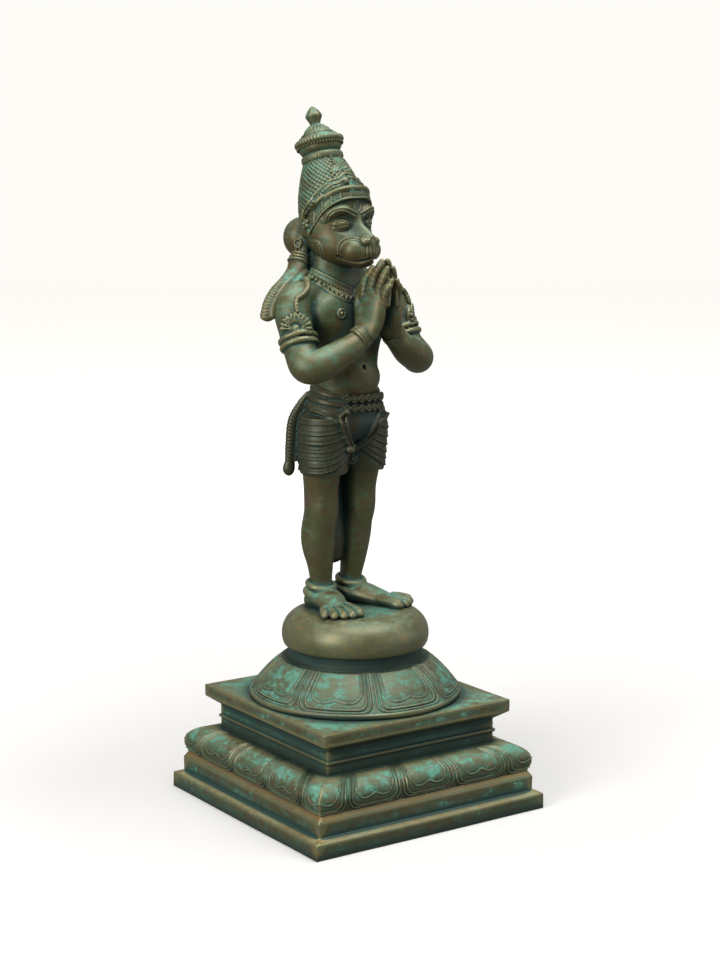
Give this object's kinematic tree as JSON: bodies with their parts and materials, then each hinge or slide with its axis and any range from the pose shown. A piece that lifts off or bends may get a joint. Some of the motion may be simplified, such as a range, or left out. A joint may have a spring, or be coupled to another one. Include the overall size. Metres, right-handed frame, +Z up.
{
  "type": "hanuman figure",
  "caption": "Standing crowned monkey-headed figure with joined palms, cast with a round lotus seat and set on a stepped square plinth.",
  "frame": {"origin": "middle of the square plinth's underside", "axes": "+Z up through the figure, -Y the plinth's front, toward which the figure faces"},
  "size_m": [0.18, 0.18, 0.4585],
  "materials": {
    "plinth_bronze": "cast bronze, brown with green patina, satin",
    "figure_bronze": "cast bronze, brown with green patina, satin"
  },
  "bodies": {
    "root": {"square_plinth": "plinth_bronze", "hanuman_on_lotus": "figure_bronze"}
  },
  "joints": []
}
